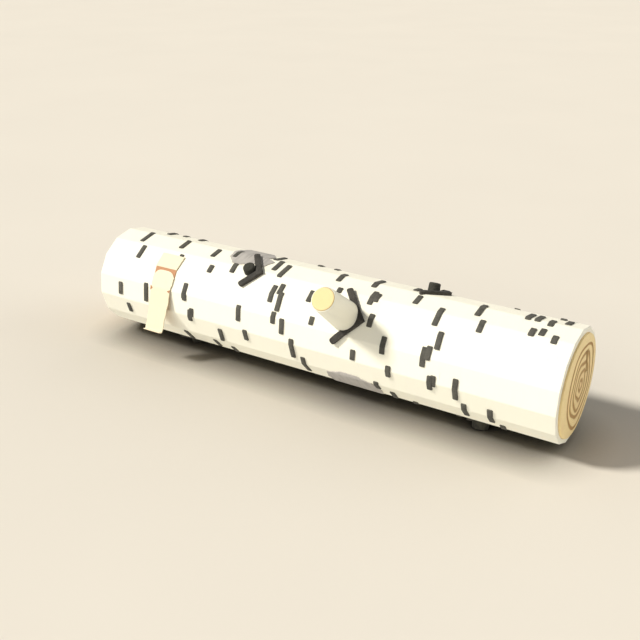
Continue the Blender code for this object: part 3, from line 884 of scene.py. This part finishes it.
class BIRCHLOG_OT_patches(Operator):
    """Models the grey-brown worn patches with finely broken edges"""
    bl_idname = "birchlog.patches"
    bl_label = "Worn Patches"

    cuts: IntProperty(name="Cuts", description="How often each side of an outline is cut", default=7, min=1)
    ragged: length("Ragged edge", "How far the edge wanders from its outline", 0.00035)

    def execute(self, context):
        sizes, colours = chosen(context)
        draw = random.Random(BACK_SEED)
        patches = []
        for outline in PATCHES:
            bpy.ops.mesh.primitive_circle_add(vertices=len(outline), fill_type="NGON")
            patch = settled("patch")
            for vertex, (along, turn) in zip(patch.data.vertices, outline):
                vertex.co = (along, arc(sizes, turn), -ROOT)
            pick(patch, "EDGE")
            bpy.ops.mesh.subdivide(number_cuts=self.cuts)
            leave_edit()
            for vertex in patch.data.vertices[len(outline):]:
                vertex.co.x += draw.uniform(-self.ragged, self.ragged)
                vertex.co.y += draw.uniform(-self.ragged, self.ragged)
            raised(patch, sizes.patch_lift + ROOT)
            round_top_rim(patch, PATCH_BEVEL, 2)
            patches.append(patch)
        patches = joined(patches, "worn_patches")
        wrap(patches, sizes)
        smooth(patches, 30)
        belongs(patches, patch_material(colours))
        return {"FINISHED"}


# Wood


def ring_point(level, turn):
    """Place on a growth ring, (y, z) from the trunk's axis. Levels 0 to 5 are the pith and the five rings."""
    if level == 0:
        return PITH.copy()
    if level > len(RINGS):
        return WOOD_RADIUS * Vector((math.cos(turn), math.sin(turn)))
    radius, wave = RINGS[level - 1]
    slow, quick = (rate * radius for rate in RING_PHASES)
    swell = math.sin(RING_LOBES[0] * turn + slow) + RING_QUICK_SHARE * math.sin(RING_LOBES[1] * turn + quick)
    reach = radius + wave * swell
    return PITH + reach * Vector((math.cos(turn), RING_TALL * math.sin(turn)))


def grown_place(radius, turn):
    """Place on the cut end of wood that grew at a radius, between the rings on either side of it."""
    radii = [0.0] + [ring for ring, _ in RINGS] + [WOOD_RADIUS]
    level = max(index for index, ring in enumerate(radii[:-1]) if ring <= radius + TINY)
    share = (radius - radii[level]) / (radii[level + 1] - radii[level])
    return ring_point(level, turn).lerp(ring_point(level + 1, turn), share)


def growth_radii(sizes):
    """Radii of the edge loops on a cut end: even steps, with closer loops across each dark ring."""
    steps = {round(WOOD_RADIUS * step / GRAIN_STEPS, 5) for step in range(1, GRAIN_STEPS)}
    near = sizes.ring_width / 2
    for ring, _ in RINGS:
        steps = {step for step in steps if abs(step - ring) > near * LOOP_MARGIN}
        steps |= {round(ring + near * part, 5) for part in LOOP_SHARES}
    return sorted(steps, reverse=True)


class BIRCHLOG_OT_wood(Operator):
    """Models the trunk's wood with ring relief and a crack in both cut ends, and the stub's wood"""
    bl_idname = "birchlog.wood"
    bl_label = "Sawn Wood"

    sectors: IntProperty(name="Sectors", description="Steps round a growth ring", default=ROUND_SIDES, min=12)
    inset: length("Inset", "Spacing of the edge loops before they are put in place", 0.0004)

    def execute(self, context):
        sizes, colours = chosen(context)
        wood = trunk_cylinder("sawn_wood", self.sectors, WOOD_RADIUS, LENGTH + 2 * WOOD_PROUD)
        face = LENGTH / 2 + WOOD_PROUD
        radii = growth_radii(sizes)
        pick(wood, "FACE", lambda one: abs(one.calc_center_median().x) > face - TINY)
        for _ in radii:
            bpy.ops.mesh.inset(thickness=self.inset, use_individual=True)
        leave_edit()

        growth = wood.data.uv_layers.new(name="growth")
        grown = {}
        step = self.inset / math.cos(math.pi / self.sectors)
        for vertex in wood.data.vertices:
            flat = Vector((vertex.co.y - AXIS_Y, vertex.co.z - AXIS_Z))
            level = round((WOOD_RADIUS - flat.length) / step)
            turn = math.atan2(flat.y, flat.x)
            radius = WOOD_RADIUS if level == 0 else radii[level - 1]
            grown[vertex.index] = radius * Vector((math.cos(turn), math.sin(turn)))
            if level == 0:
                continue
            spot = grown_place(radius, turn)
            near = min(abs(radius - ring) for ring, _ in RINGS) / (sizes.ring_width / 2)
            groove = sizes.ring_depth * 0.5 * (1 + math.cos(math.pi * min(near, 1.0)))
            vertex.co = (math.copysign(face - groove, vertex.co.x), AXIS_Y + spot.x, AXIS_Z + spot.y)
        for loop in wood.data.loops:
            growth.data[loop.index].uv = grown[loop.vertex_index]
        pick(wood, "FACE", lambda one: len(one.verts) > 4)
        bpy.ops.mesh.poke()
        leave_edit()

        wide = CRACK_WIDTH / 2
        for end in (face, -face):
            bpy.ops.mesh.primitive_cone_add(vertices=4, radius1=wide, radius2=wide * CRACK_NARROWS,
                                            depth=CRACK_LENGTH, end_fill_type="NGON",
                                            location=(end, AXIS_Y + CRACK_MIDDLE.x, AXIS_Z + CRACK_MIDDLE.y),
                                            rotation=(math.radians(180 + CRACK_LEAN), 0, 0),
                                            scale=(CRACK_DEPTH / wide, 1, 1))
            crack = settled("crack")
            for corner in crack.data.uv_layers.new(name="growth").data:
                corner.uv = CRACK_MIDDLE
            combine(wood, crack, "DIFFERENCE")
        axis = Vector((AXIS_Y, AXIS_Z))
        pick(wood, "EDGE", lambda edge: all(
            abs(vertex.co.x) > face - TINY and (vertex.co.yz - axis).length > WOOD_RADIUS - CLOSE
            for vertex in edge.verts))
        bevel_picked(WOOD_BEVEL, 2)
        smooth(wood, 40)
        belongs(wood, wood_material(colours, sizes), "wood")
        self.stub(sizes, colours)
        return {"FINISHED"}

    def stub(self, sizes, colours):
        """The branch's own wood, proud of its bark like a fresh saw cut."""
        stub = stub_cone("stub_wood", sizes, sizes.stub_bark, STUB_WOOD_ROOT, STUB_PROUD)
        at_tip = out_on_stub(sizes, sizes.stub_tip + STUB_PROUD)
        pick(stub, "EDGE", at_tip)
        bevel_picked(WOOD_BEVEL, 3)
        pick(stub, "FACE", at_tip)
        for depth in STUB_STEP_DEPTHS:
            bpy.ops.mesh.inset(thickness=STUB_STEP, depth=depth)
        leave_edit()
        growth = stub.data.uv_layers.new(name="growth")
        foot, out = stub_axis(sizes)
        across = Vector((0.0, out.z, -out.y))
        for loop in stub.data.loops:
            offset = stub.data.vertices[loop.vertex_index].co - foot
            growth.data[loop.index].uv = Vector((offset.x, offset.dot(across))) - STUB_PITH
        smooth(stub, 40)
        belongs(stub, stub_wood_material(colours))


# Torn strip


def strip_width(sizes, reach):
    """Width of the strip at a distance from its attached end."""
    whole = arc(sizes, PEEL_LEAVES - PEEL_TURN) + PEEL_HANG + PEEL_CURL
    return (PEEL_TO - PEEL_FROM) * (1 - PEEL_NARROWS * reach / whole)


def strip_path(sizes):
    """Points (side, up) of the strip's underside, seen along the trunk from its axis."""
    path = []
    for turn in range(PEEL_TURN, PEEL_LEAVES + 1):
        turn = math.radians(turn)
        radius = bark_radius(sizes, turn) + FIT
        path.append(Vector((radius * math.sin(turn), radius * math.cos(turn))))
    heading = math.radians(90 - PEEL_LEAVES)
    for reach, bend, steps in ((PEEL_HANG, PEEL_BEND_R, HANG_ROWS), (PEEL_CURL, PEEL_CURL_R, CURL_ROWS)):
        step = reach / steps
        for _ in range(steps):
            heading += step / bend / 2
            path.append(path[-1] + step * Vector((math.sin(heading), -math.cos(heading))))
            heading += step / bend / 2
    return path


def strip_sheet(name, sizes):
    """The main strip, from its torn top edge down to the curl at its free end."""
    path = strip_path(sizes)
    reach = [0.0]
    for here, ahead in zip(path, path[1:]):
        reach.append(reach[-1] + (ahead - here).length)
    first = STRIP_TOP_TURNS[0] - PEEL_TURN
    last = len(path) - 1
    rows = last - first + 1
    bpy.ops.mesh.primitive_grid_add(x_subdivisions=PEEL_COLUMNS - 1, y_subdivisions=rows - 1, size=2)
    sheet = settled(name)
    droop = arc(sizes, STRIP_TOP_TURNS[1] - STRIP_TOP_TURNS[0])
    for vertex in sheet.data.vertices:
        across, row = vertex.co.x, first + round((vertex.co.y + 1) / 2 * (rows - 1))
        side, up = path[row]
        wander = 0.00025 * math.sin(row * 0.9 + across) + 0.0002 * math.sin(row * 0.37 + 2)
        half = strip_width(sizes, reach[row]) / 2 - PEEL_INSET + wander
        ahead = path[min(row + 1, last)] - path[max(row - 1, 0)]
        slip = droop * across ** 4 * max(0.0, 1 - (row - first) / SLIP_ROWS) * ahead.normalized()
        vertex.co = (PEEL_MIDDLE + across * half - LENGTH / 2, AXIS_Y - side - slip.x, AXIS_Z + up + slip.y)
    pick(sheet, "FACE")
    bpy.ops.mesh.flip_normals()
    leave_edit()
    return sheet


def layer_plate(name, sizes, turns, inset, low, high):
    """Thin layer over the flats, modelled flat, from one height to another over the bark."""
    first, last = (arc(sizes, turn) for turn in turns)
    bpy.ops.mesh.primitive_grid_add(x_subdivisions=12, y_subdivisions=8, size=2)
    plate = settled(name)
    for vertex in plate.data.vertices:
        across, share = vertex.co.x, (vertex.co.y + 1) / 2
        turned = first + share * (last - first)
        wide = strip_width(sizes, turned - arc(sizes, PEEL_TURN)) - 2 * inset
        vertex.co = (PEEL_MIDDLE + across * wide / 2, turned, low)
    raised(plate, high - low)
    wrap(plate, sizes)
    return plate


class BIRCHLOG_OT_strip(Operator):
    """Models the torn strip of bark: the flap it hangs from, the orange tear and the hanging curl"""
    bl_idname = "birchlog.strip"
    bl_label = "Torn Strip"

    def execute(self, context):
        sizes, colours = chosen(context)
        cream = strip_material("strip cream", colours.strip, [part * 0.9 for part in colours.strip])
        inner = strip_material("strip inside", colours.inside, colours.inside_streak)
        orange = strip_material("torn edge", colours.tear, colours.tear_streak)

        sheet = strip_sheet("torn_strip", sizes)
        belongs(sheet, cream, "bark_peel")
        sheet.data.materials.append(inner)
        finish_with(sheet, "SOLIDIFY", thickness=sizes.strip_thickness, offset=1.0, material_offset=1,
                    use_even_offset=True)
        soften(sheet, SHEET_BEVEL)
        smooth(sheet, 22)

        flap = layer_plate("strip_flap", sizes, FLAP_TURNS, *FLAP_LAYER)
        soften(flap, FLAP_BEVEL)
        smooth(flap, 22)
        belongs(flap, cream)

        tear = layer_plate("strip_tear", sizes, TEAR_TURNS, *TEAR_LAYER)
        tear = joined([tear] + [self.chip(*chip) for chip in CHIPS], "strip_tear")
        smooth(tear, 22)
        belongs(tear, orange)
        return {"FINISHED"}

    def chip(self, along, radius, stretch, heading):
        """Three-sided spot where the cream layer has flaked off."""
        bpy.ops.mesh.primitive_cylinder_add(vertices=3, radius=radius, depth=CHIP_THICKNESS,
                                            rotation=(0, 0, math.radians(heading)))
        chip = settled("chip")
        chip.scale.y = stretch
        chip.rotation_euler.x = math.radians(PEEL_LEAVES)
        chip.location = place(along, math.radians(CHIP_TURN), CHIP_REACH)
        return put(chip)


# Stage


class BIRCHLOG_OT_stage(Operator):
    """Sets the pale floor, the soft key and fill lights, the world and the camera"""
    bl_idname = "birchlog.stage"
    bl_label = "Floor, Lights and Camera"

    def execute(self, context):
        colours, stage = context.scene.birch_log_colours, context.scene.birch_log_stage
        bpy.ops.object.select_all(action="DESELECT")
        bpy.ops.mesh.primitive_plane_add(size=FLOOR_SIZE)
        floor = settled("floor")
        made, tree, shader = new_material("pale floor", 1.0, 0.0)
        grain = between(tree, noise(tree, object_place(tree), 3.0, detail=2.0), 0.2, 0.8)
        paint = mixed(tree, grain, opaque(colours.floor), shaded(colours.floor, 1.02))
        # Painted shade: ambient occlusion darkens the floor's colour close to the log and round it, as the
        # camera sees it; other rays see the bounce colour, which sets the light that the floor throws back at
        # the log
        painted_shades = []
        for reach, strength in ((stage.contact_reach, stage.contact_shade), (stage.wide_reach, stage.wide_shade)):
            open_sky = node(tree, "AmbientOcclusion", {"Distance": reach}, samples=16).outputs["AO"]
            painted_shades.append(sum_of(tree, "POWER", open_sky, strength))
        seen = node(tree, "LightPath").outputs["Is Camera Ray"]
        paint = mixed(tree, 1.0, paint, times(tree, *painted_shades), "MULTIPLY")
        paint = mixed(tree, seen, opaque(colours.bounce), paint)
        tree.links.new(paint, shader.inputs["Base Color"])
        floor.data.materials.append(made)

        for name, towards, strength, spread in (
                ("key light", (-0.611, -0.44, 0.657), stage.key, stage.key_spread),
                ("right fill", (0.847, 0.476, 0.238), stage.right, stage.fill_spread),
                ("back light", (0.13, 0.93, 0.35), stage.back, stage.fill_spread),
                ("front fill", (-0.31, -0.88, 0.35), stage.front, stage.fill_spread)):
            bpy.ops.object.light_add(type="SUN", location=towards)
            light = bpy.context.active_object
            light.name = name
            light.data.energy, light.data.angle = strength, spread
            light.rotation_euler = Vector(towards).to_track_quat("Z", "Y").to_euler()

        world = bpy.data.worlds.new("soft studio")
        context.scene.world = world
        world.use_nodes = True
        sky = world.node_tree.nodes["Background"].inputs
        sky["Color"].default_value = opaque(stage.tint)
        sky["Strength"].default_value = stage.ambient

        bpy.ops.object.camera_add(location=Vector((0, AXIS_Y, AXIS_Z)) + CAMERA_OFFSET)
        camera = bpy.context.active_object
        camera.name = "camera"
        camera.rotation_euler = (math.radians(90 - CAMERA_ELEVATION), 0, math.radians(CAMERA_AZIMUTH))
        camera.data.lens = CAMERA_LENS
        context.scene.camera = camera
        context.scene.view_settings.view_transform = "Standard"
        return {"FINISHED"}


class BIRCHLOG_PT_panel(Panel):
    """Lists the operators in the order in which they are run"""
    bl_idname = "BIRCHLOG_PT_panel"
    bl_label = "Birch Log"
    bl_space_type = "VIEW_3D"
    bl_region_type = "UI"
    bl_category = "Birch Log"

    def draw(self, context):
        for operator in OPERATORS:
            self.layout.operator(operator.bl_idname)
        for group in (context.scene.birch_log_sizes, context.scene.birch_log_colours,
                      context.scene.birch_log_stage):
            box = self.layout.box()
            for name in group.__annotations__:
                box.prop(group, name)


OPERATORS = (BIRCHLOG_OT_bark, BIRCHLOG_OT_dashes, BIRCHLOG_OT_ridges, BIRCHLOG_OT_knots, BIRCHLOG_OT_patches,
             BIRCHLOG_OT_wood, BIRCHLOG_OT_strip, BIRCHLOG_OT_stage)
GROUPS = {"birch_log_sizes": BirchLogSizes, "birch_log_colours": BirchLogColours,
          "birch_log_stage": BirchLogStage}


def register():
    for made in (*GROUPS.values(), *OPERATORS, BIRCHLOG_PT_panel):
        bpy.utils.register_class(made)
    for name, group in GROUPS.items():
        setattr(bpy.types.Scene, name, PointerProperty(type=group))


def unregister():
    for name in GROUPS:
        delattr(bpy.types.Scene, name)
    for made in (BIRCHLOG_PT_panel, *reversed(OPERATORS), *GROUPS.values()):
        bpy.utils.unregister_class(made)


def main():
    register()
    bpy.ops.object.select_all(action="DESELECT")
    hairline_group()
    cork_group()
    for operator in OPERATORS:
        group, name = operator.bl_idname.split(".")
        getattr(getattr(bpy.ops, group), name)()


if __name__ == "__main__":
    main()
